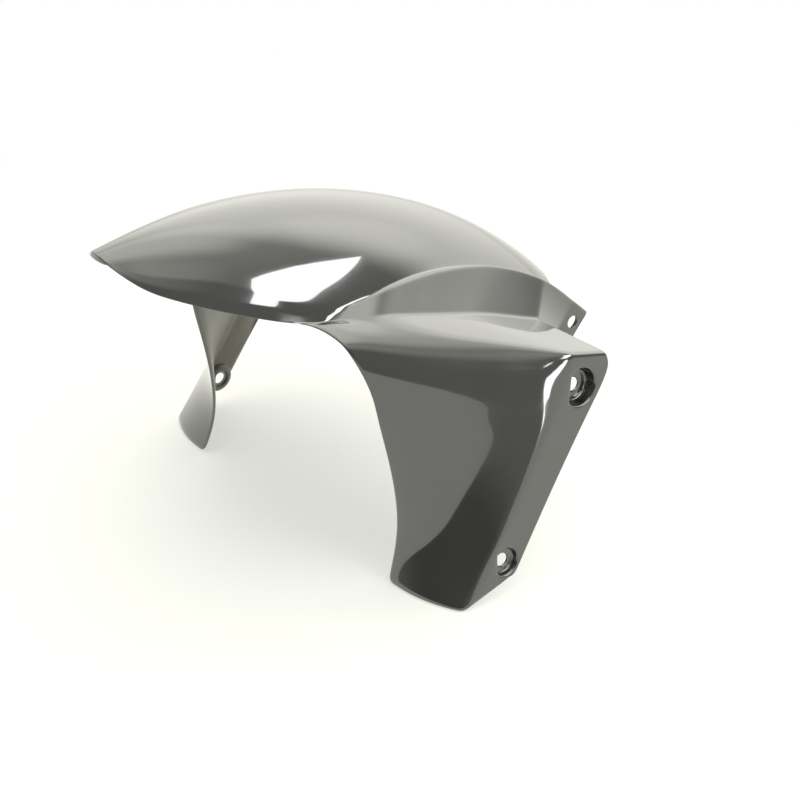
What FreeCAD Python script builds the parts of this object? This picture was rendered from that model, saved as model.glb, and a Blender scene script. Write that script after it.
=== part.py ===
import FreeCAD, Part
import math
import os
from FreeCAD import Vector

# Front mudguard of a motorcycle: one moulded shell, mirrored about the XZ plane.
# +X forward, +Y left, +Z up. Built about the wheel axle, then set down on the floor.

# Driving sizes, in mm and degrees
wall = 3.0
crown_r = 322.0
half_width = 65.6
side_depth = 64.0
crown_power = 1.45
plain_valley = 0.915
plain_top = 0.954
floor_above_axle = 127.7

nose_deg = 12.7
nose_taper_deg = 34.5
nose_power = 1.72
nose_blunt = 8.0
nose_round = 36.0

bulge_front_deg = -8.0
bulge_rear_deg = -32.0
bulge_top = 13.0
bulge_valley = 20.0
bulge_swell = 11.5
bulge_splay = 0.6
bulge_lead_deg = 8.0
ramp_end_deg = -39.5
rear_end_deg = -42.4
tab_half_width = 60.0
tab_drop = 34.0

shelf_height = 124.0
shelf_at_x = -122.0
shelf_slope = 0.225
shelf_past_crease = 19.0
foot_lip = 0.4
shelf_corner_r = 9.0
shelf_edge_r = 5.0
shelf_gusset = 4.5

waist_height = 27.3
neck_below_shelf = 39.7
gusset_below_shelf = 8.7
wing_foot_x = -45.6
wing_foot_y = 85.7
wing_waist_x = -53.0
wing_waist_y = 83.5
wing_neck_x = -40.0
wing_neck_y = 82.5
wing_root_x = -23.0
wing_root_y = 57.5
crease_foot_x = -57.7
crease_foot_y = 131.5
crease_top_x = -131.0
crease_top_y = 124.0
crease_bow = 28.0
crease_r = 4.0
panel_foot_length = 27.8
panel_foot_flare = 2.0
panel_top_length = 34.0
panel_top_flare = 0.5
panel_bow = 4.0
panel_corner_r = 8.0
heel_rise = 12.0
heel_corner_r = 5.0

bolt_d = 6.6
bolt_pitch = 95.0
bolt_low_z = 20.0
bolt_setback = 13.5
pocket_high_r = 10.0
pocket_low_r = 8.0
pocket_flat = 6.5
pocket_depth = 6.0
clamp_d = 6.5
clamp_deg = -41.1
clamp_drop = 24.0

# Places that follow from them
shelf_rear_x = crease_top_x - shelf_past_crease
panel_foot_x = crease_foot_x - panel_foot_length
panel_foot_y = crease_foot_y + panel_foot_flare
panel_top_x = crease_top_x - panel_top_length
panel_top_y = crease_top_y + panel_top_flare
waist_share = waist_height / shelf_height
neck_share = 1.0 - neck_below_shelf / shelf_height
gusset_share = 1.0 - gusset_below_shelf / shelf_height


def lerp(a, b, k):
    return a + (b - a) * k


def polar(deg, y, drop):
    # A point of the arch: angle ahead of the vertical, side offset, depth under the crown
    a = math.radians(deg)
    r = crown_r - drop
    return Vector(r * math.sin(a), y, r * math.cos(a) - floor_above_axle)


def shelf_z(x):
    return shelf_height + shelf_slope * (x - shelf_at_x)


def shelf_drop(deg):
    # Depth under the crown at which the shelf plane crosses the arch
    a = math.radians(deg)
    reach = shelf_height + floor_above_axle - shelf_slope * shelf_at_x
    return crown_r - reach / (math.cos(a) - shelf_slope * math.sin(a))


def taper(share, power):
    share = min(max(share, 0.0), 1.0)
    return (1.0 - (1.0 - share) ** power) ** (1.0 / power)


def arch_size(deg):
    # Half width and side depth of the plain arch at one angle
    g = taper((nose_deg - deg) / nose_taper_deg, nose_power)
    return half_width * g, side_depth * g


def crown_y(w, h, drop):
    # Side offset of the crown curve at one depth
    c = 1.0 - min(drop / h, 1.0)
    return w * math.sqrt(1.0 - c * c) ** crown_power


def rim_drop(deg):
    # Depth of the free edge under the crown
    if deg > bulge_rear_deg:
        return min(arch_size(deg)[1], shelf_drop(deg) + wall + foot_lip)
    k = min((bulge_rear_deg - deg) / (bulge_rear_deg - ramp_end_deg), 1.0)
    return lerp(shelf_drop(bulge_rear_deg) + wall + foot_lip, tab_drop, k)


valley_0 = plain_valley * rim_drop(bulge_front_deg)
top_0 = plain_top * rim_drop(bulge_front_deg)
width_0 = crown_y(*arch_size(bulge_front_deg), top_0)


def corners(deg):
    # Valley, bulge top and foot of one side, each as (y, depth)
    w, h = arch_size(deg)
    foot = rim_drop(deg)
    if deg >= bulge_front_deg:
        a = plain_valley * foot
        b = plain_top * foot
        return (crown_y(w, h, a), a), (crown_y(w, h, b), b), (crown_y(w, h, foot), foot)
    q = (bulge_front_deg - deg) / (bulge_front_deg - bulge_rear_deg)
    valley = bulge_valley + (valley_0 - bulge_valley) * max(1.0 - q, 0.0) ** 1.8
    top = bulge_top + (top_0 - bulge_top) * max(1.0 - q, 0.0) ** 1.9
    y = width_0 + bulge_swell * min(q, 1.0)
    if deg < bulge_rear_deg:
        k = min((bulge_rear_deg - deg) / (bulge_rear_deg - ramp_end_deg), 1.0)
        y = lerp(width_0 + bulge_swell, tab_half_width, k)
    return (crown_y(w, h, valley), valley), (y, top), (y + bulge_splay, foot)


def arch_side(deg, skin):
    # Points of one side from the crown to the rim; skin is 0 outside and 1 inside
    w, h = arch_size(deg)
    valley, top, foot = corners(deg)
    t = wall * skin
    curve = []
    end = math.acos(1.0 - valley[1] / h)
    for step in (0.0, 0.22, 0.42, 0.62, 0.82):
        p = end * step
        y = (w - t) * math.sin(p) ** crown_power
        curve.append((y, t + (h - t) * (1.0 - math.cos(p))))
    # Inside the bulge the wall is also set down, so that it keeps its thickness under the top
    lean = min(max((bulge_front_deg - deg) / bulge_lead_deg, 0.0), 1.0)
    curve.append((valley[0] - t * lerp(1.0, 0.8, lean), valley[1] + 0.8 * t * lean))
    inner_top = (top[0] - t, top[1] + t * lean)
    inner_foot = (foot[0] - t, foot[1])
    return curve, inner_top, inner_foot


def mirror(p):
    return Vector(p.x, -p.y, p.z)


def spline(points):
    curve = Part.BSplineCurve()
    curve.interpolate(points)
    return curve.toShape()


def arch_section(deg):
    rows = []
    for skin in (0, 1):
        curve, top, foot = arch_side(deg, skin)
        left = [polar(deg, y, d) for y, d in curve]
        right = [mirror(p) for p in reversed(left[1:])]
        rows.append((spline(right + left), left[-1], polar(deg, *top), polar(deg, *foot)))
    outer, inner = rows
    edges = [outer[0]]
    edges.append(Part.makeLine(outer[1], outer[2]))
    edges.append(Part.makeLine(outer[2], outer[3]))
    edges.append(Part.makeLine(outer[3], inner[3]))
    edges.append(Part.makeLine(inner[3], inner[2]))
    edges.append(Part.makeLine(inner[2], inner[1]))
    edges.append(inner[0])
    edges.append(Part.makeLine(mirror(inner[1]), mirror(inner[2])))
    edges.append(Part.makeLine(mirror(inner[2]), mirror(inner[3])))
    edges.append(Part.makeLine(mirror(inner[3]), mirror(outer[3])))
    edges.append(Part.makeLine(mirror(outer[3]), mirror(outer[2])))
    edges.append(Part.makeLine(mirror(outer[2]), mirror(outer[1])))
    return Part.Wire(Part.__sortEdges__(edges))


def spread(a, b, count):
    return [lerp(a, b, i / (count - 1.0)) for i in range(count)]


def arch():
    nose = []
    for g in spread(nose_blunt / half_width, nose_round / half_width, 4):
        share = 1.0 - (1.0 - g ** nose_power) ** (1.0 / nose_power)
        nose.append(nose_deg - share * nose_taper_deg)
    nose = nose + spread(nose[-1], bulge_front_deg, 4)[1:]
    runs = [nose, spread(bulge_front_deg, bulge_rear_deg, 7)]
    lofts = [Part.makeLoft([arch_section(d) for d in run], True, False) for run in runs]
    for a, b in ((bulge_rear_deg, ramp_end_deg), (ramp_end_deg, rear_end_deg)):
        lofts.append(Part.makeLoft([arch_section(a), arch_section(b)], True, True))
    return lofts[0].fuse(lofts[1:])


def on_plane(x, y, v):
    # A point of the wing at share v of the way from the floor to the shelf
    return Vector(x, y, v * shelf_z(x))


def wing_front(v):
    # Front edge: foot, waist, neck, then round into the rim of the arch
    if v < waist_share:
        k = math.sin(0.5 * math.pi * v / waist_share)
        return lerp(wing_foot_x, wing_waist_x, k), lerp(wing_foot_y, wing_waist_y, k)
    if v < neck_share:
        k = (v - waist_share) / (neck_share - waist_share)
        k = k * k * (1.6 - 0.6 * k)
        return lerp(wing_waist_x, wing_neck_x, k), lerp(wing_waist_y, wing_neck_y, k)
    k = (v - neck_share) / (1.0 - neck_share)
    y = wing_root_y + (wing_neck_y - wing_root_y) * math.sqrt(1.0 - k * k)
    return lerp(wing_neck_x, wing_root_x, k ** 1.5), y


def wing_corners(v):
    fx, fy = wing_front(v)
    kx = lerp(crease_foot_x, crease_top_x, v) - crease_bow * v * (1.0 - v)
    ky = lerp(crease_foot_y, crease_top_y, v)
    ex = lerp(panel_foot_x, panel_top_x, v)
    ey = lerp(panel_foot_y, panel_top_y, v)
    return Vector(fx, fy, 0), Vector(kx, ky, 0), Vector(ex, ey, 0)


def outward(d):
    return Vector(d.y, -d.x, 0)


def wing_outline(v, skin):
    # Front edge, middle of the front panel, both ends of the crease round, crease, rear edge
    f, k, e = wing_corners(v)
    da = (k - f).normalize()
    db = (e - k).normalize()
    na = outward(da)
    nb = outward(db)
    gusset = max(0.0, (v - gusset_share) / (1.0 - gusset_share)) ** 2
    t = (wall + shelf_gusset * gusset) * skin
    bow = panel_bow * (1.0 - 1.6 * v ** 3)
    mid = (f + k) * 0.5 + na * (bow - t)
    corner = k - (na + nb) * (t / (1.0 + na.dot(nb)))
    r = crease_r - 0.5 * wall * skin
    flat = [f - na * t, mid, corner - da * r, corner, corner + db * r, e - nb * t]
    return [on_plane(p.x, p.y, v) for p in flat]


def wing_section(v):
    o = wing_outline(v, 0)
    i = wing_outline(v, 1)
    edges = []
    for p in (o, i):
        round_edge = Part.BezierCurve()
        round_edge.setPoles([p[2], p[3], p[4]])
        edges.append([spline([p[0], p[1], p[2]]), round_edge.toShape(), Part.makeLine(p[4], p[5])])
    ends = [Part.makeLine(o[5], i[5]), Part.makeLine(i[0], o[0])]
    return Part.Wire(Part.__sortEdges__(edges[0] + [ends[0]] + edges[1] + [ends[1]]))


def shelf_plate():
    # Flat top of the wing, from the foot of the bulge to the outer crease
    o = wing_outline(1.0, 0)
    bulge = []
    root_deg = math.degrees(math.atan2(wing_root_x, shelf_z(wing_root_x) + floor_above_axle))
    for d in [root_deg] + spread(bulge_front_deg, bulge_rear_deg, 5):
        p = polar(d, corners(d)[2][0] - 0.5 * wall, shelf_drop(d))
        bulge.append(Vector(p.x, p.y, shelf_z(p.x)))
    foot = bulge[-1]
    side = lerp(o[4].y, o[5].y, (shelf_rear_x - o[4].x) / (o[5].x - o[4].x))
    rear = [on_plane(shelf_rear_x, side, 1.0), on_plane(shelf_rear_x, foot.y + shelf_corner_r, 1.0)]
    edges = [spline([o[0], o[1], o[2]])]
    round_edge = Part.BezierCurve()
    round_edge.setPoles([o[2], o[3], o[4]])
    edges.append(round_edge.toShape())
    edges.append(Part.makeLine(o[4], rear[0]))
    edges.append(Part.makeLine(rear[0], rear[1]))
    corner = Part.BezierCurve()
    corner.setPoles([rear[1], on_plane(shelf_rear_x, foot.y + 1.0, 1.0), foot])
    edges.append(corner.toShape())
    edges.append(spline(list(reversed(bulge))))
    edges.append(Part.makeLine(bulge[0], o[0]))
    face = Part.Face(Part.Wire(Part.__sortEdges__(edges)))
    return face.extrude(Vector(0, 0, -wall))


def bolt_points():
    # Two bolts on the outer panel, both set back from the crease by the same distance
    points = []
    tall = bolt_low_z
    for step in (0, 1):
        v = tall / shelf_z(lerp(panel_foot_x, panel_top_x, tall / shelf_height))
        f, k, e = wing_corners(v)
        m = k + (e - k).normalize() * bolt_setback
        points.append(Vector(m.x, m.y, tall))
        slope = (crease_top_x - crease_foot_x) / shelf_height
        tall = tall + bolt_pitch / math.sqrt(1.0 + slope * slope)
    return points


def corner_tool(corner, a, b, r):
    # What a round of radius r takes off a corner of the outer panel, between directions a and b
    a.normalize()
    b.normalize()
    half = math.acos(a.dot(b)) / 2.0
    centre = corner + (a + b).normalize() * (r / math.sin(half))
    reach = r / math.tan(half)
    out = (a + b).normalize() * (-3.0 * r)
    p = corner + a * reach
    q = corner + b * reach
    flat = [Vector(m.x, 0, m.z) for m in (centre, p, p + out, q + out, q, centre)]
    block = Part.Face(Part.makePolygon(flat)).extrude(Vector(0, 2.0 * panel_foot_y, 0))
    start = Vector(centre.x, -panel_foot_y, centre.z)
    rod = Part.makeCylinder(r, 4.0 * panel_foot_y, start, Vector(0, 1, 0))
    return block.cut(rod)


def rear_edge(v):
    e = wing_corners(v)[2]
    return on_plane(e.x, 0.0, v)


def top_edges(shape):
    # Outer edges of the shelf, found by lying on its outline
    o = wing_outline(1.0, 0)
    line = [spline([o[0], o[1], o[2]]), Part.makeLine(o[4], o[5])]
    line.append(Part.makeLine((o[2] + o[3] * 2.0 + o[4]) * 0.25, o[3]))
    found = []
    for edge in shape.Edges:
        m = edge.valueAt((edge.FirstParameter + edge.LastParameter) / 2.0)
        near = min(Part.Vertex(m).distToShape(e)[0] for e in line)
        if near < 0.02 and abs(m.z - shelf_z(m.x)) < 0.02:
            found.append(edge)
    return found


def wing():
    heights = spread(0.0, waist_share, 3) + spread(waist_share, neck_share, 4)[1:]
    heights = heights + spread(neck_share, gusset_share, 4)[1:] + spread(gusset_share, 1.0, 3)[1:]
    panel = Part.makeLoft([wing_section(v) for v in heights], True, False)
    shape = panel.fuse(shelf_plate()).removeSplitter()
    edges = top_edges(shape)
    shape = shape.makeFillet(shelf_edge_r, edges)
    for p, r in zip(bolt_points(), (pocket_low_r, pocket_high_r)):
        start = p - Vector(0, 0.5 * wall, 0)
        cup = Part.makeCylinder(r + wall, pocket_depth + 0.5 * wall, start, Vector(0, -1, 0))
        shape = shape.fuse(cup)
    # Heel: the foot of the outer panel rises to the rear
    toe = Vector(crease_foot_x, 0, 0)
    heel = rear_edge(heel_rise / shelf_z(panel_foot_x))
    low = Vector(0, 0, -2.0 * heel_rise)
    back = heel + (heel - toe)
    wedge = Part.makePolygon([toe, back, back + low, toe + low, toe])
    shape = shape.cut(Part.Face(wedge).extrude(Vector(0, 2.0 * panel_foot_y, 0)))
    rounds = [corner_tool(heel, toe - heel, rear_edge(0.3) - heel, heel_corner_r)]
    top = rear_edge(1.0)
    rounds.append(corner_tool(top, Vector(1, 0, shelf_slope), rear_edge(0.85) - top, panel_corner_r))
    return shape.cut(rounds)


def pocket(p, r):
    # A round pocket with a flat on the side of the crease
    cut = bore(p, 2.0 * r, pocket_depth)
    lean = rear_edge(0.8) - rear_edge(0.2)
    ahead = Vector(lean.z, 0, -lean.x).normalize()
    low = Vector(pocket_flat, -2.0 * pocket_depth, -2.0 * r)
    block = Part.makeBox(r, 4.0 * pocket_depth, 4.0 * r, low)
    block.rotate(Vector(0, 0, 0), Vector(0, 1, 0), math.degrees(math.atan2(-ahead.z, ahead.x)))
    block.translate(p)
    return cut.cut(block)


def bore(p, d, reach):
    # A round tool along Y, reaching the same way inwards and outwards from p
    return Part.makeCylinder(d / 2.0, 2.0 * reach, p - Vector(0, reach, 0), Vector(0, 1, 0))


def holes():
    cuts = []
    for p, r in zip(bolt_points(), (pocket_low_r, pocket_high_r)):
        cuts.append(pocket(p, r))
        cuts.append(bore(p, bolt_d, pocket_depth + 2.0 * wall))
    cuts.append(bore(polar(clamp_deg, tab_half_width, clamp_drop), clamp_d, 3.0 * wall))
    return cuts


def mirrored(shape):
    return shape.mirror(Vector(0, 0, 0), Vector(0, 1, 0))


left_wing = wing()
shell = arch().fuse([left_wing, mirrored(left_wing)])
tools = holes()
shell = shell.cut(tools + [mirrored(t) for t in tools]).removeSplitter()
box = shell.optimalBoundingBox(True, False)
shift = Vector(-(box.XMin + box.XMax) / 2.0, 0, -box.ZMin)
shell.translate(shift)
print("solids", len(shell.Solids), "valid", shell.isValid(), "volume", round(shell.Volume))
print("set down by", shift, "bolts", bolt_points())

os.makedirs("parts", exist_ok=True)
shell.exportStep("parts/mudguard_shell.step")
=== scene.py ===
# %% [markdown]
# The part exists already as an exact solid, with every size where it belongs. It is loaded first.
# Such a solid is right for making the part, but its surface is a patchwork, and gloss would show
# every patch. So a new surface is modelled over it, and takes its place near the end.

# %% Load the solid part
import math

import bmesh
import bpy
from mathutils import Matrix, Vector


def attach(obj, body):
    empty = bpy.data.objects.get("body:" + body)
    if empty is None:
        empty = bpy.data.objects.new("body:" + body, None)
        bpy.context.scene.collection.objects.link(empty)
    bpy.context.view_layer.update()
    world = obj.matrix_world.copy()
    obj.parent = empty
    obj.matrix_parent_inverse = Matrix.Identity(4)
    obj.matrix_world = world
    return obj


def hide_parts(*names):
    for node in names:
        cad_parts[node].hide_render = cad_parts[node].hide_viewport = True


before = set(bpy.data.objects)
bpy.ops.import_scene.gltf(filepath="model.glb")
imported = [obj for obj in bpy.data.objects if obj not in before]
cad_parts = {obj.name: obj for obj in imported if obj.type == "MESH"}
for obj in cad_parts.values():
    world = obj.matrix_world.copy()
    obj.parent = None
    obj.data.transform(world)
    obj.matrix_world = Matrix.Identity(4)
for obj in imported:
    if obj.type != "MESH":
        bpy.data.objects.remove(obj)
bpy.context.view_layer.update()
scene = bpy.context.scene
scene.view_settings.view_transform = "Standard"

# %% [markdown]
# The object is the front mudguard of a motorcycle: one sheet of gloss black plastic, 3 mm thick.
# Its crown is part of a wheel, so every point of the arch is easiest to give as an angle about the
# axle, a distance to the side, and a depth under the crown. The wings hang from a sloping shelf,
# and their points are given as a share of the way from the floor up to that shelf.
# All sizes below are in millimetres and angles in degrees, unless a name or a line says otherwise.

# %% Wheel and shelf
MM = 0.001
AXLE_X = 74.65
AXLE_Z = -127.7
CROWN_R = 322.0
SHELF_HEIGHT = 124.0
SHELF_X = -122.0
SHELF_SLOPE = 0.225


def at(x, y, z):
    """A point given from the axle in x and from the floor in z."""
    return Vector((x + AXLE_X, y, z)) * MM


def polar(deg, y, drop):
    """A point given by its angle about the axle, its distance to the side and its depth."""
    a = math.radians(deg)
    r = CROWN_R - drop
    return at(r * math.sin(a), y, r * math.cos(a) + AXLE_Z)


def shelf_z(x):
    return SHELF_HEIGHT + SHELF_SLOPE * (x - SHELF_X)


def shelf_deg(x):
    """The angle at which the shelf, x ahead of the axle, is seen from the axle."""
    return math.degrees(math.atan2(x, shelf_z(x) - AXLE_Z))


def shelf_drop(deg):
    a = math.radians(deg)
    reach = shelf_z(0.0) - AXLE_Z
    return CROWN_R - reach / (math.cos(a) - SHELF_SLOPE * math.sin(a))


print("top of the crown at", [round(v, 4) for v in polar(0.0, 0.0, 0.0)])

# %% [markdown]
# A photograph gives each point's place in the picture, but not its distance from the camera. The
# shape of the reflections tells the rest: a flat step beside the crown would mirror the dark side of
# the bulge, and the real one mirrors the bright wall behind. So the camera's place is written down
# first, and `slide` moves a point along its line of sight without moving it in the picture.

# %% Where the camera stands
CAMERA_AZIMUTH = math.radians(52.0)
CAMERA_HEIGHT = math.radians(28.0)
CAMERA_DISTANCE = 0.998
CAMERA_AIM = at(-80.0, 0.0, 190.0 + AXLE_Z)
back = Vector((math.cos(CAMERA_AZIMUTH) * math.cos(CAMERA_HEIGHT),
               math.sin(CAMERA_AZIMUTH) * math.cos(CAMERA_HEIGHT), math.sin(CAMERA_HEIGHT)))
spot = CAMERA_AIM + back * CAMERA_DISTANCE


def slide(point, distance):
    """Move a point away from the camera, or towards it where the distance is negative."""
    return point + (point - spot).normalized() * distance * MM


print("camera at", [round(v, 3) for v in spot])

# %% [markdown]
# A cross-section of the arch is a soft ridge that turns over from the crown to the rim. It is narrow
# at the nose and grows to its full width with a rounded taper. Formulas give the width, the depth and
# the turn at any angle, so a change of one size moves the whole arch and leaves it smooth. Points
# placed by hand would be quicker for one section, and lumpy over forty.

# %% Width and depth of the arch
HALF_WIDTH = 65.6
SIDE_DEPTH = 64.0
CROWN_POWER = 1.08
RIM_TURN = 75.0
NOSE_TURN = 48.0
NOSE_TURN_DEG = 9.0
NOSE_DEG = 12.7
TAPER_DEG = 34.5
TAPER_POWER = 1.72


def lerp(a, b, k):
    return a + (b - a) * k


def clamp(k):
    return min(max(k, 0.0), 1.0)


def step_up(k, start, span):
    """A soft step: 0 up to the start, and 1 from the end of the span on."""
    k = clamp((k - start) / span)
    return k * k * (3.0 - 2.0 * k)


def arch_size(deg):
    share = clamp((NOSE_DEG - deg) / TAPER_DEG)
    g = (1.0 - (1.0 - share) ** TAPER_POWER) ** (1.0 / TAPER_POWER)
    return HALF_WIDTH * g, SIDE_DEPTH * g


def rim_turn(deg):
    """How far a section turns over from the crown to the rim: less at the nose than behind it."""
    return math.radians(lerp(RIM_TURN, NOSE_TURN, step_up(deg, 0.0, NOSE_TURN_DEG)))


def turn_at(deg, drop):
    """How far the section has turned over at a depth."""
    h = arch_size(deg)[1]
    return math.acos(1.0 - min(drop / h, 1.0) * (1.0 - math.cos(rim_turn(deg))))


def crown_y(deg, drop):
    w = arch_size(deg)[0]
    return w * (math.sin(turn_at(deg, drop)) / math.sin(rim_turn(deg))) ** CROWN_POWER


print("half width and depth over the axle:", [round(v, 1) for v in arch_size(0.0)])

# %% [markdown]
# Behind the nose, a bulge comes out of each side: a valley, a top edge and a face that stands on the
# shelf. At the rear the face runs out into a tab. Those three corners are worked out for any angle.
# Two small moves follow. The face is tipped back along the line of sight, as its bright reflection
# asks, and the rear end is skewed, because its foot stands further back than its top.

# %% Corners of the bulge
WALL = 3.0
BULGE_FRONT = -8.0
BULGE_REAR = -32.0
RAMP_END = -39.5
ROOT_X = -23.0
ROOT_DEG = shelf_deg(ROOT_X)
TAB_DROP = 34.0
TAB_HALF_WIDTH = 60.0
NOSE_SPREAD = 12.0
VALLEY_SHARES = (0.93, 0.60)
TOP_SHARES = (0.97, 0.80)
BULGE_TOP = 13.0
BULGE_VALLEY = 20.0
BULGE_SWELL = 11.5
RISE_POWER = 1.9
SWELL_POWER = 1.6
MEET_SOFT = 1.5
FOOT_OUT = 0.6
LEAN = 0.92
AWAY_SHARE = 0.38
FRONT_STEP = 1.5
SKEW_START = 25.0
SKEW_SPAN = 6.5
REAR_SKEW = -2.2
SKEW_AT_TOP = 0.15


def bulge_share(deg):
    """How far along the bulge, from its front to its rear."""
    return clamp((BULGE_FRONT - deg) / (BULGE_FRONT - BULGE_REAR))


def tab_share(deg):
    """How far the bulge has turned into the tab."""
    return clamp((BULGE_REAR - deg) / (BULGE_REAR - RAMP_END))


def foot_drop(deg):
    """Depth of the lowest row: the rim at the nose, the shelf behind it, the tab at the rear."""
    if deg < BULGE_REAR:
        return lerp(shelf_drop(BULGE_REAR), TAB_DROP, tab_share(deg))
    sink = WALL * clamp((deg - BULGE_FRONT) / (ROOT_DEG - BULGE_FRONT))
    return min(arch_size(deg)[1], shelf_drop(deg) + sink)


def corners(deg):
    """Valley, top and foot of one side, each as (y, depth)."""
    foot = foot_drop(deg)
    if deg >= BULGE_FRONT:
        k = clamp((deg - BULGE_FRONT) / NOSE_SPREAD)
        drops = (foot * lerp(*VALLEY_SHARES, k), foot * lerp(*TOP_SHARES, k), foot)
        return [(crown_y(deg, drop), drop) for drop in drops]
    q = bulge_share(deg)
    start = foot_drop(BULGE_FRONT)
    top = lerp(BULGE_TOP, TOP_SHARES[0] * start, (1.0 - q) ** RISE_POWER)
    flat = (VALLEY_SHARES[0] - TOP_SHARES[0]) * start
    valley = top + lerp(flat, BULGE_VALLEY - BULGE_TOP, step_up(q, 0.02, 0.3))
    swell = crown_y(BULGE_FRONT, TOP_SHARES[0] * start) + BULGE_SWELL * q ** SWELL_POWER
    flush = crown_y(deg, top)
    y = 0.5 * (swell + flush + math.hypot(swell - flush, MEET_SOFT) - MEET_SOFT * (1.0 - q))
    y = lerp(y, TAB_HALF_WIDTH, tab_share(deg))
    return [(crown_y(deg, valley), valley), (y, top), (y + FOOT_OUT, foot)]


def sloped(deg, top, foot):
    """How far the top and the foot slide along the sight line, so that the face slopes."""
    if deg >= BULGE_FRONT:
        return 0.0, 0.0
    q = bulge_share(deg)
    lean = LEAN * (foot[1] - top[1]) * (1.0 - tab_share(deg))
    nearer = FRONT_STEP * step_up(q, 0.0, 0.1) * (1.0 - step_up(q, 0.2, 0.25))
    away = AWAY_SHARE * lean * step_up(q, 0.15, 0.3) - nearer
    return away, away - lean


def skewed(deg, share):
    """The angle of a point of the rear end, a share of the way from its top to its foot."""
    k = step_up(-deg, SKEW_START, SKEW_SPAN)
    if deg < BULGE_REAR:
        k = 1.0 - tab_share(deg)
    return deg + REAR_SKEW * k * lerp(SKEW_AT_TOP, 1.0, share)


print("corners at -20 degrees:", [[round(v, 1) for v in corner] for corner in corners(-20.0)])

# %% [markdown]
# The rows of the mesh are spread between those corners. Subdivision will round every edge as far as
# the next row, so two rows lie close where an edge should stay crisp, and apart where it should be
# soft. Inside the top edge, near its front, lies a narrow rounded land.

# %% Rows of one cross-section
CROWN_SHARES = (0.0, 0.18, 0.34, 0.5, 0.66, 0.82, 0.955)
CROWN_SINK = 1.2
EDGE_SOFT = (6.5, 1.6)
EDGE_HASTE = 1.4
TAB_SOFT = 6.0
LAND = 5.0
LAND_SHARE = 0.7
LAND_SINK = 0.4
VALLEY_SOFT = 1.6
FOOT_SOFT = 2.0
FACE_SHARES = (0.36, 0.53, 0.70)


def mixed(a, b, k):
    return tuple(lerp(m, n, k) for m, n in zip(a, b))


def section(deg):
    """The rows of one cross-section, from the crown to the foot."""
    w, h = arch_size(deg)
    valley, top, foot = corners(deg)
    end, rim = turn_at(deg, valley[1]), rim_turn(deg)
    # Each row is a distance to the side, a depth, a slide along the sight line, and an angle
    rows = []
    for share in CROWN_SHARES:
        turn = end * share
        drop = (1.0 - math.cos(turn)) / (1.0 - math.cos(rim))
        rows.append((w * (math.sin(turn) / math.sin(rim)) ** CROWN_POWER,
                     lerp(CROWN_SINK * h / SIDE_DEPTH, h, drop), 0.0, deg))
    top_slide, foot_slide = sloped(deg, top, foot)
    valley = valley + (0.0, deg)
    top = top + (top_slide, skewed(deg, 0.0))
    foot = foot + (foot_slide, skewed(deg, 1.0))
    flank = math.dist(valley[:3], top[:3])
    face = math.dist(top[:3], foot[:3])
    q = bulge_share(deg)
    soft = lerp(lerp(*EDGE_SOFT, clamp(q * EDGE_HASTE)), TAB_SOFT, tab_share(deg))
    land = min(LAND, LAND_SHARE * max(top[0] - crown_y(deg, top[1]), 0.0))
    level = (top[0] - land, top[1] + LAND_SINK) + top[2:]
    inner = mixed(valley, top, 1.0 - min(0.5, soft / flank))
    inner = mixed(inner, level, step_up(q, 0.0, 0.12) * (1.0 - step_up(q, 0.45, 0.25)))
    rows += [valley, mixed(valley, top, min(0.3, VALLEY_SOFT / flank)), inner, top]
    rows.append(mixed(top, foot, min(0.25, soft / face)))
    rows += [mixed(top, foot, share) for share in FACE_SHARES]
    rows += [mixed(top, foot, 1.0 - min(0.15, FOOT_SOFT / face)), foot]
    return [slide(polar(turn, y, drop), far) for y, drop, far, turn in rows]


ROWS = len(section(0.0))
print("rows across one side of the arch:", ROWS)

# %% [markdown]
# The wing is two panels that meet in a crease. Its front edge runs from a foot over a waist and a neck
# into the rim of the arch, and the crease leans back and bows. The front panel bows outwards, and
# near its top it has a shallow wave, which on the real one bends the reflection of the floor.

# %% Edges and panels of a wing
FRONT_FOOT = (-45.6, 85.7)
FRONT_WAIST = (-53.0, 83.5)
FRONT_NECK = (-40.0, 82.5)
FRONT_ROOT = (ROOT_X, 57.5)
WAIST_SHARE = 0.22
WAIST_EASE = 0.6
NECK_SHARE = 0.68
NECK_POWER = 1.5
CREASE_FOOT = (-57.7, 131.5)
CREASE_TOP = (-131.0, 124.0)
CREASE_BOW = 28.0
CREASE_CURL = (0.35, 0.94)
PANEL_FOOT = (-85.5, 132.9)
PANEL_TOP = (-165.0, 124.5)
PANEL_BOW = 4.0
PANEL_FLATTEN = 1.6
PANEL_WAVE = -1.2
PANEL_CORNER = 10.0
CORNER_SHARE = 0.89
CORNER_POWER = 1.6


def between(a, b, k):
    return Vector((lerp(a[0], b[0], k), lerp(a[1], b[1], k)))


def wing_front(v):
    """The front edge, seen from above, at a share v of the height."""
    if v < WAIST_SHARE:
        return between(FRONT_FOOT, FRONT_WAIST, math.sin(0.5 * math.pi * v / WAIST_SHARE))
    if v < NECK_SHARE:
        k = (v - WAIST_SHARE) / (NECK_SHARE - WAIST_SHARE)
        return between(FRONT_WAIST, FRONT_NECK, k * k * (1.0 + WAIST_EASE - WAIST_EASE * k))
    k = (v - NECK_SHARE) / (1.0 - NECK_SHARE)
    x = lerp(FRONT_NECK[0], FRONT_ROOT[0], k ** NECK_POWER)
    return Vector((x, lerp(FRONT_ROOT[1], FRONT_NECK[1], math.sqrt(1.0 - k * k))))


def crease(v):
    """The crease, which bows back and curls in a little near its top."""
    p = between(CREASE_FOOT, CREASE_TOP, v)
    curl = Vector(CREASE_CURL) * step_up(v, 0.7, 0.25)
    return Vector((p.x - CREASE_BOW * v * (1.0 - v), p.y)) - curl


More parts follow.
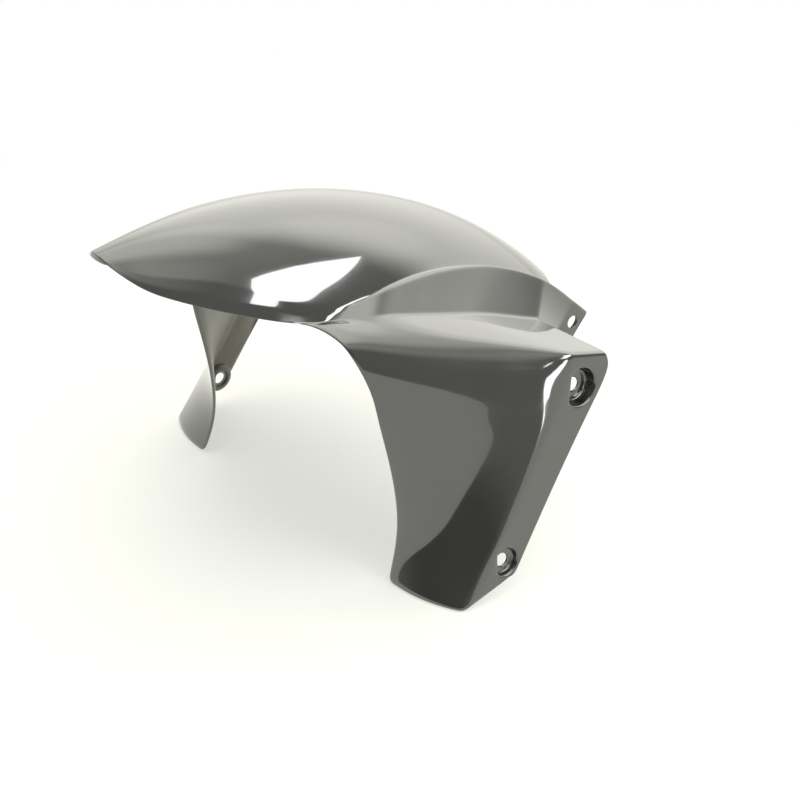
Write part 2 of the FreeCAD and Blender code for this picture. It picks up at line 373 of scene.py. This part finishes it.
def front_panel(k, v):
    """A point of the panel between the front edge and the crease, bowed outwards."""
    f, c = wing_front(v), crease(v)
    along = (c - f).normalized()
    bow = PANEL_BOW * (1.0 - PANEL_FLATTEN * v ** 3) * 4.0 * k * (1.0 - k)
    wave = PANEL_WAVE * step_up(v, 0.72, 0.14) * step_up(1.0 - v, 0.0, 0.1) * step_up(k, 0.0, 0.3)
    return f.lerp(c, k) + Vector((along.y, -along.x)) * (bow - wave)


def rear_edge(v):
    """The free edge behind the crease, with its top corner rounded off."""
    e = between(PANEL_FOOT, PANEL_TOP, v)
    rounded = PANEL_CORNER * clamp((v - CORNER_SHARE) / (1.0 - CORNER_SHARE)) ** CORNER_POWER
    return Vector((e.x + rounded, e.y))


def rear_panel(setback, v):
    """A point of the panel behind the crease, a distance back from it."""
    c, e = crease(v), rear_edge(v)
    return c.lerp(e, clamp(setback / (e - c).length))


def raised(p, v):
    return at(p.x, p.y, v * shelf_z(p.x))


print("front panel is", round((crease(0.5) - wing_front(0.5)).length, 1), "mm wide at half height")

# %% [markdown]
# Each rib of the wing mesh keeps one place along those two panels, and each row keeps one share of
# the height. The ribs start on the arch, straight inwards from their place on the outer edge, so the
# lines of the mesh run on from the arch over the shelf into the wing without a twist.

# %% Ribs of a wing
CREASE_SOFT = 4.6
CREASE_WIDE = 11.0
BOLT_SETBACK = 13.5
LAST_SETBACK = 22.5
REAR_SUPPORT = 2.6
SHELF_REAR = -153.0
# From the front edge to the rear edge: shares of the front panel, then distances past the crease
FRONT_SHARES = (0.0, 0.08, 0.18, 0.29, 0.41, 0.53, 0.65, 0.77, 0.87)
SETBACKS = (-CREASE_SOFT, 0.0, CREASE_SOFT, BOLT_SETBACK, LAST_SETBACK)
RIBS = len(FRONT_SHARES) + len(SETBACKS) + 2
CREASE_RIB = len(FRONT_SHARES) + 1
BOLT_RIB = CREASE_RIB + 2


def rib_point(rib, v):
    if rib < len(FRONT_SHARES):
        return front_panel(FRONT_SHARES[rib], v)
    length = (rear_edge(v) - crease(v)).length
    if rib >= RIBS - 2:
        return rear_panel(length - REAR_SUPPORT * (RIBS - 1 - rib), v)
    # Near the rounded corner the ribs move up, so that they keep their order
    room = length / (between(PANEL_FOOT, PANEL_TOP, v) - crease(v)).length
    setback = SETBACKS[rib - len(FRONT_SHARES)] * room
    if setback < 0.0:
        setback -= (CREASE_WIDE - CREASE_SOFT) * step_up(v, 0.6, 0.35)
        return front_panel(1.0 + setback / (crease(v) - wing_front(v)).length, v)
    return rear_panel(setback, v)


def rib_deg(rib):
    """The angle at which a rib starts on the arch."""
    x = rib_point(rib, 1.0).x
    last = rib_point(RIBS - 1, 1.0).x
    k = clamp((FRONT_ROOT[0] - x) / (FRONT_ROOT[0] - last))
    return shelf_deg(lerp(FRONT_ROOT[0], SHELF_REAR, k))


rib_degs = [rib_deg(rib) for rib in range(RIBS)]
print("ribs leave the arch at", [round(d, 1) for d in rib_degs])

# %% [markdown]
# The shell starts as a flat grid, like a sheet of plastic before it is pressed. One direction of the
# grid runs along the arch and the other runs from the crown down one side. Only the left half is
# modelled, because a mirror makes the right half later. Every grid point is then laid on the arch.
# The last sections are shallow copies of the one behind them, and close the tip like a spoon.
# A sculpted blob would be quicker, but gloss shows each bump, and a grid of even rows stays smooth.

# %% Lay a grid over the arch
NOSE_WIDTHS = (20.0, 26.0, 32.0, 38.0)
# Half width, depth and angle of the sections at the tip
TIP = ((2.5, 0.8, 12.15), (7.0, 3.4, 12.0), (12.5, 8.8, 11.5))
# The ramp down to the tab, and the tab, whose columns lie close around its hole and its end
REAR_DEGS = [-32.45, -34.2, -36.6, -38.9, RAMP_END, -39.9, -40.45, -41.1, -41.75, -42.1, -42.4]


def width_deg(width):
    """The angle at which the nose has a given half width."""
    g = (width / HALF_WIDTH) ** TAPER_POWER
    return NOSE_DEG - TAPER_DEG * (1.0 - (1.0 - g) ** (1.0 / TAPER_POWER))


def tip_section(full, width, depth, deg):
    """A copy of a section, made narrower and shallower."""
    wide = width / NOSE_WIDTHS[0]
    deep = depth / (SIDE_DEPTH * NOSE_WIDTHS[0] / HALF_WIDTH)
    copy = []
    for point in full:
        reach = math.hypot(point.x / MM - AXLE_X, point.z / MM - AXLE_Z)
        copy.append(polar(deg, point.y / MM * wide, (CROWN_R - reach) * deep))
    return copy


nose_degs = [width_deg(width) for width in NOSE_WIDTHS]
nose_degs += [lerp(nose_degs[-1], ROOT_DEG, step / 3.0) for step in (1, 2)]
sections = [section(deg) for deg in nose_degs + rib_degs + REAR_DEGS]
sections = [tip_section(sections[0], *sizes) for sizes in TIP] + sections
COLUMNS = len(sections)
first_rib = len(TIP) + len(nose_degs)

bpy.ops.object.select_all(action="DESELECT")
bpy.ops.mesh.primitive_grid_add(x_subdivisions=COLUMNS - 1, y_subdivisions=ROWS - 1, size=1.0)
shell = bpy.context.object
shell.name = "shell"
shell.data.attributes.new("rib", "INT", "POINT")
shell.data.attributes.new("row", "INT", "POINT")
for vertex in shell.data.vertices:
    column = round((vertex.co.x + 0.5) * (COLUMNS - 1))
    row = round((vertex.co.y + 0.5) * (ROWS - 1))
    vertex.co = sections[column][row]
    rib = column - first_rib
    if row == ROWS - 1 and 0 <= rib < RIBS:
        shell.data.attributes["rib"].data[vertex.index].value = rib + 1
print("arch:", len(shell.data.polygons), "faces")

# %% [markdown]
# The shelf and the wing are drawn out of the foot of the arch. The edges between the first and the
# last rib are selected and extruded, row after row, as one pulls a hem, and each new row is set down
# in its place. The first ribs have hardly any shelf, so their edges are kept soft, and the shelf
# gets its crisp corners only further back. The foot of the rear panel rises towards the heel.

# %% Draw out the shelf and the wing
SHELF_START = -60.0
SHELF_OPENS = 20.0
SHELF_FOOT_SOFT = 2.5
SHELF_EDGE_SOFT = 6.0
FOOT_SHARE = 0.3
EDGE_SHARE = 0.62
SHELF_ROWS = 5
HEEL_RISE = 12.0
LOW_BOLT_SHARE = 0.1514
HIGH_BOLT_SHARE = 0.845
WING_SHARES = (0.962, 0.925, HIGH_BOLT_SHARE, 0.758, 0.68, 0.59, 0.5, 0.4, 0.3,
               0.2234, LOW_BOLT_SHARE, 0.0794, 0.0075)
# Numbers given to the rows, so that the pockets can find them again
SHELF_FIRST_ROW = 1
WING_FIRST_ROW = 11


def shelf_row(rib, number):
    """A point of the shelf; the first row hugs the foot of the bulge and the last is the outer edge."""
    foot = sections[first_rib + rib][ROWS - 1]
    if rib == 0:
        return foot.copy()
    outer = rib_point(rib, 1.0)
    edge = raised(outer, 1.0)
    width = (edge - foot).length / MM
    opened = clamp((SHELF_START - outer.x) / SHELF_OPENS)
    near = min(FOOT_SHARE, lerp(FOOT_SHARE * width, SHELF_FOOT_SOFT, opened) / width)
    far = 1.0 - min(EDGE_SHARE, lerp(EDGE_SHARE * width, SHELF_EDGE_SOFT, opened) / width)
    shares = (near, lerp(near, far, 0.36), lerp(near, far, 0.7), far, 1.0)
    return foot.lerp(edge, shares[number])


def wing_row(rib, v):
    p = rib_point(rib, v)
    if rib > CREASE_RIB and v < LOW_BOLT_SHARE:
        c = crease(v)
        past = (p - c).length / (between(PANEL_FOOT, PANEL_TOP, v) - c).length
        low = HEEL_RISE * past / shelf_z(p.x)
        lifted = lerp(low, LOW_BOLT_SHARE, v / LOW_BOLT_SHARE)
        return raised(rib_point(rib, lifted), lifted)
    return raised(p, v)


def pull_row(number, place):
    """Extrude the selected edges and set each new vertex down in its place."""
    bpy.ops.mesh.extrude_edges_move()
    clay = bmesh.from_edit_mesh(shell.data)
    rib_of = clay.verts.layers.int["rib"]
    row_of = clay.verts.layers.int["row"]
    for vertex in clay.verts:
        if vertex.select:
            vertex.co = place(vertex[rib_of] - 1)
            vertex[row_of] = number
    bmesh.update_edit_mesh(shell.data)


bpy.ops.object.mode_set(mode="EDIT")
bpy.ops.mesh.select_mode(type="EDGE")
bpy.ops.mesh.select_all(action="DESELECT")
clay = bmesh.from_edit_mesh(shell.data)
rib_of = clay.verts.layers.int["rib"]
for edge in clay.edges:
    a, b = edge.verts
    edge.select = a[rib_of] > 0 and b[rib_of] > 0
bmesh.update_edit_mesh(shell.data)
for number in range(SHELF_ROWS):
    pull_row(SHELF_FIRST_ROW + number, lambda rib: shelf_row(rib, number))
for number, v in enumerate(WING_SHARES):
    pull_row(WING_FIRST_ROW + number, lambda rib: wing_row(rib, v))
bpy.ops.mesh.select_all(action="SELECT")
bpy.ops.mesh.remove_doubles(threshold=0.01 * MM)
bpy.ops.mesh.normals_make_consistent(inside=False)
bpy.ops.object.mode_set(mode="OBJECT")
top_face = max(shell.data.polygons, key=lambda face: face.center.z)
if top_face.normal.z < 0.0:
    shell.data.flip_normals()
print("half shell:", len(shell.data.polygons), "faces")

# %% [markdown]
# Each wing has two pockets for the bolts that hold the mudguard to the fork. A pocket is round, with
# a flat on the side of the crease, and its floor has the bolt hole with a short sleeve. Four faces
# around the bolt are taken, their outline is moved onto the pocket's outline, and the region is inset
# and pushed in. A cut with a cylinder would leave ragged faces that show in the gloss. Eight points
# make a good round once the surface is subdivided, which draws them in a little, so the outline is
# drawn that much larger. The same way opens the round hole in the tab at the rear.

# %% Pockets and holes
# Each bolt: height and x of its middle, its row's share, and the radius and depth of its pocket
BOLTS = ((101.78, -137.92, HIGH_BOLT_SHARE, 10.0, 6.0), (20.0, -86.16, LOW_BOLT_SHARE, 8.0, 3.2))
DRAW_IN = 1.22
POCKET_FLAT = 0.58
POCKET_CORNER = 1.06
POCKET_TAPER = 0.9
POCKET_INSET = 1.1
HOLE_INSET = 1.2
BOLT_R = 3.3
SLEEVE = 1.0
SLEEVE_TAPER = 0.97
CLAMP_R = 3.25
CLAMP_DEG = -41.1
CLAMP_DROP = 24.0
CLAMP_PICK = 6.2
CLAMP_INSET = 0.8


def pick_faces(test):
    """Select the faces whose corners all pass a test on place, rib and row, and count them."""
    bpy.ops.mesh.select_mode(type="FACE")
    bpy.ops.mesh.select_all(action="DESELECT")
    clay = bmesh.from_edit_mesh(shell.data)
    rib_of = clay.verts.layers.int["rib"]
    row_of = clay.verts.layers.int["row"]
    count = 0
    for face in clay.faces:
        if all(test(v.co, v[rib_of], v[row_of]) for v in face.verts):
            face.select = True
            count += 1
    clay.select_flush_mode()
    bmesh.update_edit_mesh(shell.data)
    return count


def outline_to(centre, ahead, radius_at):
    """Move the outer points of the picked faces onto an outline about centre, in its own plane."""
    clay = bmesh.from_edit_mesh(shell.data)
    picked = [face for face in clay.faces if face.select]
    inside = {v for face in picked for v in face.verts}
    middle = [v for v in inside if all(face.select for face in v.link_faces)]
    ring = [v for v in inside if v not in middle]
    normal = sum((face.normal for face in picked), Vector()).normalized()
    across = normal.cross(ahead).normalized()
    fore = across.cross(normal)

    def turn_of(v):
        return math.atan2((v.co - centre).dot(across), (v.co - centre).dot(fore))

    for v in middle:
        v.co = centre
    ring.sort(key=turn_of)
    nearest = min(range(len(ring)), key=lambda i: abs(turn_of(ring[i])))
    for i, v in enumerate(ring):
        turn = 2.0 * math.pi * (i - nearest) / len(ring)
        v.co = centre + (fore * math.cos(turn) + across * math.sin(turn)) * radius_at(turn)
    bmesh.update_edit_mesh(shell.data)
    return normal


def push_in(normal, depth, taper):
    """Extrude the picked faces inwards and make their outline smaller."""
    bpy.ops.mesh.extrude_region_move(TRANSFORM_OT_translate={"value": normal * -depth * MM})
    clay = bmesh.from_edit_mesh(shell.data)
    chosen = [v for v in clay.verts if v.select]
    centre = sum((v.co for v in chosen), Vector()) / len(chosen)
    bmesh.ops.scale(clay, vec=(taper,) * 3, space=Matrix.Translation(-centre), verts=chosen)
    bmesh.update_edit_mesh(shell.data)


def pocket(height, x, v, radius, depth):
    row = WING_FIRST_ROW + WING_SHARES.index(v)
    wanted = {(BOLT_RIB + 1 + i, row + j) for i in (-1, 0, 1) for j in (-1, 0, 1)}
    count = pick_faces(lambda co, rib, row: (rib, row) in wanted)
    centre = raised(rib_point(BOLT_RIB, v), v)
    centre.x, centre.z = at(x, 0.0, height).xz
    ahead = raised(rib_point(CREASE_RIB, v), v) - centre

    def d_shape(turn):
        """A round with a flat straight ahead, and slightly fuller corners beside the flat."""
        if abs(math.sin(turn)) < 0.1 and math.cos(turn) > 0.0:
            return radius * POCKET_FLAT * DRAW_IN * MM
        corner = POCKET_CORNER if math.cos(turn) > 0.5 else 1.0
        return radius * corner * DRAW_IN * MM

    normal = outline_to(centre, ahead, d_shape)
    bpy.ops.mesh.inset(thickness=POCKET_INSET * MM, depth=0.0)
    push_in(normal, depth, POCKET_TAPER)
    bpy.ops.mesh.inset(thickness=POCKET_INSET * MM, depth=0.0)
    bpy.ops.mesh.inset(thickness=HOLE_INSET * MM, depth=0.0)
    outline_to(centre - normal * depth * MM, ahead, lambda turn: BOLT_R * DRAW_IN * MM)
    push_in(normal, SLEEVE, SLEEVE_TAPER)
    bpy.ops.mesh.delete(type="FACE")
    print("pocket at height", height, "from", count, "faces")


def tab_hole():
    middle = polar(CLAMP_DEG, corners(CLAMP_DEG)[1][0] + 0.5 * FOOT_OUT, CLAMP_DROP)
    count = pick_faces(lambda co, rib, row: (co - middle).length < CLAMP_PICK * MM)
    radius = (CLAMP_R * DRAW_IN + CLAMP_INSET) * MM
    normal = outline_to(middle, Vector((1, 0, 0)), lambda turn: radius)
    bpy.ops.mesh.inset(thickness=CLAMP_INSET * MM, depth=0.0)
    push_in(normal, SLEEVE, SLEEVE_TAPER)
    bpy.ops.mesh.delete(type="FACE")
    print("tab hole from", count, "faces")


bpy.ops.object.mode_set(mode="EDIT")
for bolt in BOLTS:
    pocket(*bolt)
tab_hole()
bpy.ops.object.mode_set(mode="OBJECT")

# %% [markdown]
# The finish is gloss black plastic, straight from a polished mould. It has almost no colour of its
# own, so what the eye sees is the room in its surface. The gloss isn't perfect: the skin has a faint
# long ripple, and handling leaves patches that are a touch duller. A picture of scratches could be
# laid on top, but noise in the object's own space needs no unwrapping and never stretches.

# %% Gloss black plastic
def fill(tree, node, sockets):
    """Set each named socket to a value, or link it to another node's output."""
    for name, value in sockets.items():
        if isinstance(value, bpy.types.NodeSocket):
            tree.links.new(value, node.inputs[name])
        else:
            node.inputs[name].default_value = value


def wire(tree, kind, sockets, output, **options):
    """Add a node, set its options and sockets, and return one of its outputs."""
    node = tree.nodes.new(kind)
    for key, value in options.items():
        setattr(node, key, value)
    fill(tree, node, sockets)
    return node.outputs[output]


def new_material(name):
    material = bpy.data.materials.new(name)
    material.use_nodes = True
    return material, material.node_tree


gloss, tree = new_material("gloss_black_plastic")
place = wire(tree, "ShaderNodeTexCoord", {}, "Object")
haze = wire(tree, "ShaderNodeTexNoise", {"Vector": place, "Scale": 22.0, "Detail": 5.0}, "Fac")
dull = wire(tree, "ShaderNodeMapRange", {"Value": haze, "From Min": 0.35, "From Max": 0.75,
                                         "To Min": 0.07, "To Max": 0.14}, "Result")
tint = wire(tree, "ShaderNodeMix", {"Factor": haze, "A": (0.010, 0.010, 0.011, 1.0),
                                    "B": (0.017, 0.017, 0.017, 1.0)}, "Result", data_type="RGBA")
ripple = wire(tree, "ShaderNodeTexNoise", {"Vector": place, "Scale": 60.0, "Detail": 2.0}, "Fac")
bump = wire(tree, "ShaderNodeBump", {"Height": ripple, "Strength": 0.05, "Distance": 0.0005}, "Normal")
fill(tree, tree.nodes["Principled BSDF"], {
    "Base Color": tint, "Roughness": dull, "Normal": bump, "IOR": 1.7,
    "Coat Weight": 1.0, "Coat IOR": 1.75, "Coat Roughness": 0.02})
print("gloss finish:", len(tree.nodes), "nodes")

# %% [markdown]
# Inside, nobody polishes the mould. The plastic is dull there, with a fine grain. Its base colour is a
# warm dark grey instead of black: partly the dull plastic itself, and partly a painted reflection of
# the pale floor, which the inner faces mirror. One finish for both sides would be simpler, but the
# inner faces of the far wing show in the picture, and in gloss they would be much too dark.

# %% Dull plastic inside
satin, tree = new_material("dull_black_plastic")
place = wire(tree, "ShaderNodeTexCoord", {}, "Object")
grain = wire(tree, "ShaderNodeTexNoise", {"Vector": place, "Scale": 900.0, "Detail": 3.0}, "Fac")
# Painted reflection: this warm grey is lighter than the plastic, and stands in partly for the pale floor
# mirrored inside
tint = wire(tree, "ShaderNodeMix", {"Factor": grain, "A": (0.140, 0.137, 0.116, 1.0),
                                    "B": (0.190, 0.186, 0.158, 1.0)}, "Result", data_type="RGBA")
dull = wire(tree, "ShaderNodeMapRange", {"Value": grain, "To Min": 0.24, "To Max": 0.36}, "Result")
bump = wire(tree, "ShaderNodeBump", {"Height": grain, "Strength": 0.15, "Distance": 0.0003}, "Normal")
fill(tree, tree.nodes["Principled BSDF"], {
    "Base Color": tint, "Roughness": dull, "Normal": bump, "IOR": 1.45})

shell.data.materials.clear()
shell.data.materials.append(gloss)
shell.data.materials.append(satin)
print("finishes:", [material.name for material in shell.data.materials])

# %% [markdown]
# Now the half sheet becomes the whole moulding. Mirror makes the right side, Solidify gives the wall
# its 3 mm on the inside, with the second finish, and Subdivision rounds everything. The wall gets
# thinner at the lip, as on the real one, and most at the nose. Solidify also marks the edges of the
# rim as partly creased, so that subdivision leaves a small round there instead of a fat bead.

# %% Mirror, thicken and smooth
LIP_SHARE = 0.5
NOSE_LIP_SHARE = 0.3
NOSE_LIP_X = (0.06, 0.05)
RIM_CREASE = 0.45


def apply(kind, **settings):
    modifier = shell.modifiers.new(kind.title(), kind)
    for key, value in settings.items():
        setattr(modifier, key, value)
    bpy.ops.object.modifier_apply(modifier=modifier.name)


apply("MIRROR", use_axis=(False, True, False), use_clip=True, merge_threshold=0.05 * MM)
wall = shell.vertex_groups.new(name="wall")
edge_use = [0] * len(shell.data.edges)
for loop in shell.data.loops:
    edge_use[loop.edge_index] += 1
lip = {v for edge, uses in zip(shell.data.edges, edge_use) if uses == 1 for v in edge.vertices}
wall.add([v.index for v in shell.data.vertices if v.index not in lip], 1.0, "REPLACE")
for v in lip:
    k = step_up(shell.data.vertices[v].co.x, *NOSE_LIP_X)
    wall.add([v], lerp(LIP_SHARE, NOSE_LIP_SHARE, k), "REPLACE")
apply("SOLIDIFY", vertex_group="wall", thickness=WALL * MM, offset=-1.0, use_even_offset=False,
      use_rim=True, material_offset=1, edge_crease_outer=RIM_CREASE, edge_crease_inner=RIM_CREASE,
      edge_crease_rim=0.0)
apply("SUBSURF", levels=2, render_levels=2)
bpy.ops.object.shade_smooth()
print("shell:", len(shell.data.polygons), "faces")

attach(shell, "root")
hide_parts("mudguard_shell")

# %% [markdown]
# The mudguard stands on a sheet of pale paper. To the camera the sheet glows and fades to plain white
# away from the object. Close by it keeps the shadow, but half its colour there is that glow, a painted
# light that makes the shadow paler. Reflections see it white too. A larger sheet would be simpler, but
# its front edge matters: the wing mirrors the dark room beyond it, so the sheet ends half a metre in
# front. The next cells give lengths in metres.

# %% Floor
FLOOR_SIZE = 8.0
FLOOR_FRONT = 0.5
FLOOR_TURN = 15.0
WARM = (1.0, 1.0, 0.92, 1.0)
WHITE = (1.0, 1.0, 1.0, 1.0)


def heading(azimuth, height):
    """The direction of a compass angle from +X and a height above the horizon, in degrees."""
    a, e = math.radians(azimuth), math.radians(height)
    return Vector((math.cos(e) * math.cos(a), math.cos(e) * math.sin(a), math.sin(e)))


def ramp(tree, value, low, high, start, end):
    """A soft change from start to end while a value goes from low to high."""
    return wire(tree, "ShaderNodeMapRange", {"Value": value, "From Min": low, "From Max": high,
                                             "To Min": start, "To Max": end},
                "Result", interpolation_type="SMOOTHSTEP")


def combine(tree, kind, a, b):
    return wire(tree, "ShaderNodeMath", {0: a, 1: b}, "Value", operation=kind)


bpy.ops.mesh.primitive_plane_add(
    size=FLOOR_SIZE, location=heading(FLOOR_TURN, 0.0) * (FLOOR_FRONT - 0.5 * FLOOR_SIZE),
    rotation=(0.0, 0.0, math.radians(FLOOR_TURN)))
bpy.ops.object.transform_apply(location=True, rotation=True, scale=True)
floor = bpy.context.object
floor.name = "floor"
paper, tree = new_material("white_paper")
fill(tree, tree.nodes["Principled BSDF"], {"Base Color": (0.86, 0.865, 0.78, 1.0), "Roughness": 0.9})
place = wire(tree, "ShaderNodeTexCoord", {}, "Object")
reach = wire(tree, "ShaderNodeVectorMath", {0: place}, "Value", operation="LENGTH")
path = tree.nodes.new("ShaderNodeLightPath").outputs
# Painted light: to the camera, half the floor's colour near the object is glow, which pales the shadow
near_share = combine(tree, "MULTIPLY", path["Is Camera Ray"], ramp(tree, reach, 0.2, 0.6, 0.5, 1.0))
share = combine(tree, "MAXIMUM", near_share, path["Is Glossy Ray"])
tone = wire(tree, "ShaderNodeMix", {"Factor": path["Is Camera Ray"], "A": WARM, "B": WHITE},
            "Result", data_type="RGBA")
glow = wire(tree, "ShaderNodeEmission", {"Color": tone}, "Emission")
sheet = tree.nodes["Principled BSDF"].outputs["BSDF"]
blend = wire(tree, "ShaderNodeMixShader", {"Fac": share, 1: sheet, 2: glow}, "Shader")
fill(tree, tree.nodes["Material Output"], {"Surface": blend})
floor.data.materials.append(paper)
print("floor:", [round(v, 2) for v in floor.dimensions])

# %% [markdown]
# Two lights draw the reflections. A lit card to the left makes the bright shape on the arch's side;
# its six corners were found by following each corner of that shape from the camera over the surface
# into the room. A small edge light makes the white streak beside the crease. A lamp would do for both,
# but the outline of the card isn't a rectangle, so the card is a mesh that shines.

# %% Lights
SHINE = 8.0
LIGHT_DISTANCE = 1.2
EDGE_AIM = Vector((-0.056, 0.124, 0.122))
EDGE_HEADING = heading(94.0, 0.0)
EDGE_WIDTH = 0.13
EDGE_HEIGHT = 0.2
CARD_AIM = Vector((0.06, 0.05, 0.165))
CARD_HEADING = heading(118.0, 30.0)
CARD_CORNERS = ((-0.50, -0.27), (-0.19, 0.11), (0.15, 0.19), (0.55, 0.19), (0.11, -0.06), (-0.36, -0.31))


def facing(direction):
    """Two directions at right angles to a direction: a level one and a steep one."""
    level = Vector((0, 0, 1)).cross(direction).normalized()
    return level, direction.cross(level)


lamp = bpy.data.lights.new("edge_light", "AREA")
lamp.shape = "RECTANGLE"
lamp.size = EDGE_WIDTH
lamp.size_y = EDGE_HEIGHT
lamp.energy = SHINE * math.pi * EDGE_WIDTH * EDGE_HEIGHT
edge_light = bpy.data.objects.new("edge_light", lamp)
scene.collection.objects.link(edge_light)
edge_light.matrix_world = Matrix((*facing(EDGE_HEADING), EDGE_HEADING)).transposed().to_4x4()
edge_light.location = EDGE_AIM + EDGE_HEADING * LIGHT_DISTANCE

bpy.ops.mesh.primitive_circle_add(vertices=len(CARD_CORNERS), radius=0.1, fill_type="NGON")
card = bpy.context.object
card.name = "lit_card"
level, steep = facing(CARD_HEADING)
for vertex, (a, b) in zip(card.data.vertices, CARD_CORNERS):
    vertex.co = CARD_AIM + LIGHT_DISTANCE * (CARD_HEADING + level * a + steep * b)
lit, tree = new_material("lit_card")
shine = wire(tree, "ShaderNodeEmission", {"Strength": SHINE}, "Emission")
fill(tree, tree.nodes["Material Output"], {"Surface": shine})
card.data.materials.append(lit)
print("edge light of", round(lamp.energy, 2), "W, card of", len(card.data.vertices), "corners")

# %% [markdown]
# The rest of the light is the room itself: dark in front, a bright wall behind, a ceiling, and two
# faint glows. It is painted on the world as soft steps in a few directions. The camera sees plain
# white there. Reflections see the room, because black gloss shows its form by nothing else.

# %% Room
world = bpy.data.worlds.new("studio")
scene.world = world
world.use_nodes = True
tree = world.node_tree
ray = wire(tree, "ShaderNodeTexCoord", {}, "Generated")


def towards(source, direction):
    """How far a ray points along a direction, from -1 to 1."""
    return wire(tree, "ShaderNodeVectorMath", {0: source, 1: direction}, "Value", operation="DOT_PRODUCT")


flat = wire(tree, "ShaderNodeVectorMath", {0: ray, 1: (1.0, 1.0, 0.0)}, "Vector", operation="MULTIPLY")
level_ray = wire(tree, "ShaderNodeVectorMath", {0: flat}, "Vector", operation="NORMALIZE")
height = towards(ray, (0.0, 0.0, 1.0))
dark_room = combine(tree, "MULTIPLY", ramp(tree, height, 0.35, 0.9, 0.42, 1.0),
                    ramp(tree, towards(level_ray, heading(20.0, 0.0)), 0.5, 0.9, 1.0, 0.45))
back_wall = combine(tree, "MULTIPLY", ramp(tree, towards(ray, heading(205.0, 22.0)), 0.58, 0.86, 0.0, 1.0),
                    ramp(tree, height, -0.25, 0.5, 0.5, 1.75))
ceiling = combine(tree, "ADD", ramp(tree, height, 0.80, 0.97, 0.0, 1.5),
                  ramp(tree, towards(ray, heading(172.0, 42.0)), 0.93, 0.995, 0.0, 0.4))
front_glow = ramp(tree, towards(ray, heading(62.0, 46.0)), 0.86, 0.985, 0.0, 0.7)
light = combine(tree, "ADD", combine(tree, "ADD", dark_room, back_wall),
                combine(tree, "ADD", ceiling, front_glow))
path = tree.nodes.new("ShaderNodeLightPath").outputs
seen = wire(tree, "ShaderNodeMix", {"Factor": path["Is Camera Ray"], "A": light, "B": 1.0}, "Result")
shade = wire(tree, "ShaderNodeMix", {"Factor": path["Is Camera Ray"], "A": WARM, "B": WHITE},
             "Result", data_type="RGBA")
fill(tree, tree.nodes["Background"], {"Strength": seen, "Color": shade})
print("room:", len(tree.nodes), "nodes")

# %% [markdown]
# The camera stands where it was written down above: in front, to the left, and above. Its lens and
# shift come from fitting the wheel's curve to the picture. Aiming it at the middle would be simpler,
# but the picture was cut off-centre, and a shifted lens keeps the perspective right.

# %% Camera
CAMERA_ROLL = math.radians(0.26)
right, up = facing(back)
side = right * math.cos(CAMERA_ROLL) + up * math.sin(CAMERA_ROLL)
rise = up * math.cos(CAMERA_ROLL) - right * math.sin(CAMERA_ROLL)
lens = bpy.data.cameras.new("camera")
lens.lens = 81.94
lens.sensor_width = 36.0
lens.shift_x = 0.0761
lens.shift_y = -0.0041
camera = bpy.data.objects.new("camera", lens)
scene.collection.objects.link(camera)
camera.matrix_world = Matrix((side, rise, back)).transposed().to_4x4()
camera.location = spot
scene.camera = camera
print("lens of", round(lens.lens, 2), "mm")
